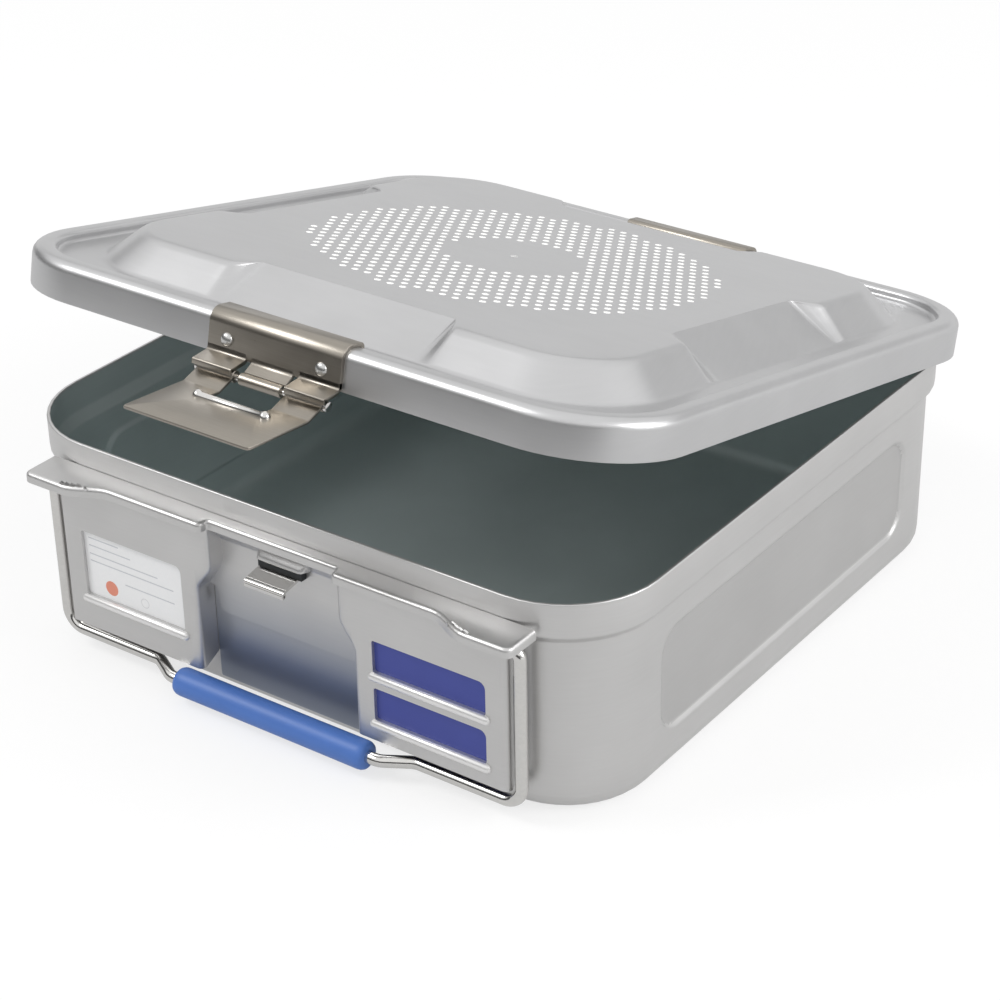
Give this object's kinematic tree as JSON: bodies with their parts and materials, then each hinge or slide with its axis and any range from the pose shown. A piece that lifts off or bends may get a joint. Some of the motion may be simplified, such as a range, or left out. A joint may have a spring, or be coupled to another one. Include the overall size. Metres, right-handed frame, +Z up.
{
  "type": "sterilization container",
  "caption": "Square aluminium sterilization container: base pan with drop handles and card holders, perforated lid tilted open on its rear latch, front latch lifted.",
  "frame": {"origin": "middle of the base pan's underside, on the surface that it stands on", "axes": "+Z up, -Y towards the front (card holders and lifted latch), +X to the right seen from the front"},
  "size_m": [0.296, 0.3485, 0.1667],
  "materials": {
    "satin_aluminium": "satin anodised",
    "stainless_sheet": "brushed",
    "polished_wire": "polished",
    "rivet_metal": "satin",
    "blue_silicone": "soft matte",
    "white_card": "printed card",
    "blue_anodised": "satin blue",
    "seal_rubber": "soft grey",
    "filter_fabric": "non-woven",
    "grey_plastic": "moulded"
  },
  "bodies": {
    "base": {"base_pan": "satin_aluminium", "front_carrier_plate": "satin_aluminium", "rear_carrier_plate": "satin_aluminium", "front_carrier_rivets": "rivet_metal", "rear_carrier_rivets": "rivet_metal", "front_keeper": "polished_wire", "rear_keeper": "polished_wire", "label_card": "white_card", "name_plate_upper": "blue_anodised", "name_plate_lower": "blue_anodised"},
    "lid": {"lid_pan": "satin_aluminium", "lid_gasket": "seal_rubber", "filter_paper": "filter_fabric", "retainer_stud": "stainless_sheet", "retainer_hooks": "stainless_sheet", "front_latch_bracket": "stainless_sheet", "rear_latch_bracket": "stainless_sheet", "front_bracket_rivets": "rivet_metal", "rear_bracket_rivets": "rivet_metal", "front_latch_pin": "polished_wire", "rear_latch_pin": "polished_wire"},
    "filter_holder": {"filter_retainer": "stainless_sheet", "retainer_hub": "grey_plastic"},
    "front_handle": {"front_handle_wire": "polished_wire", "front_handle_grip": "blue_silicone"},
    "rear_handle": {"rear_handle_wire": "polished_wire", "rear_handle_grip": "blue_silicone"},
    "front_latch": {"front_latch_flap": "stainless_sheet", "front_latch_rod": "polished_wire"},
    "rear_latch": {"rear_latch_flap": "stainless_sheet", "rear_latch_rod": "polished_wire"}
  },
  "joints": [
    {"name": "lid_tilt", "type": "hinge", "parent": "base", "child": "lid", "pos_m": [0, 0.1545, 0.0788], "axis": [-1, 0, 0], "range_deg": [-12.9, 5]},
    {"name": "front_handle_lift", "type": "hinge", "parent": "base", "child": "front_handle", "pos_m": [0, -0.147, 0.074], "axis": [-1, 0, 0], "range_deg": [0, 95]},
    {"name": "rear_handle_lift", "type": "hinge", "parent": "base", "child": "rear_handle", "pos_m": [0, 0.147, 0.074], "axis": [1, 0, 0], "range_deg": [0, 95]},
    {"name": "front_latch_swing", "type": "hinge", "parent": "lid", "child": "front_latch", "pos_m": [0, -0.1467, 0.14778], "axis": [-1, 0, 0], "range_deg": [-91.4, 8]},
    {"name": "rear_latch_swing", "type": "hinge", "parent": "base", "child": "rear_latch", "pos_m": [0, 0.1545, 0.0788], "axis": [1, 0, 0], "range_deg": [0, 78]},
    {"name": "filter_retainer_turn", "type": "hinge", "parent": "lid", "child": "filter_holder", "pos_m": [0, 0.00959, 0.13815], "axis": [0, 0.2233, 0.9748], "range_deg": [0, 30]}
  ]
}
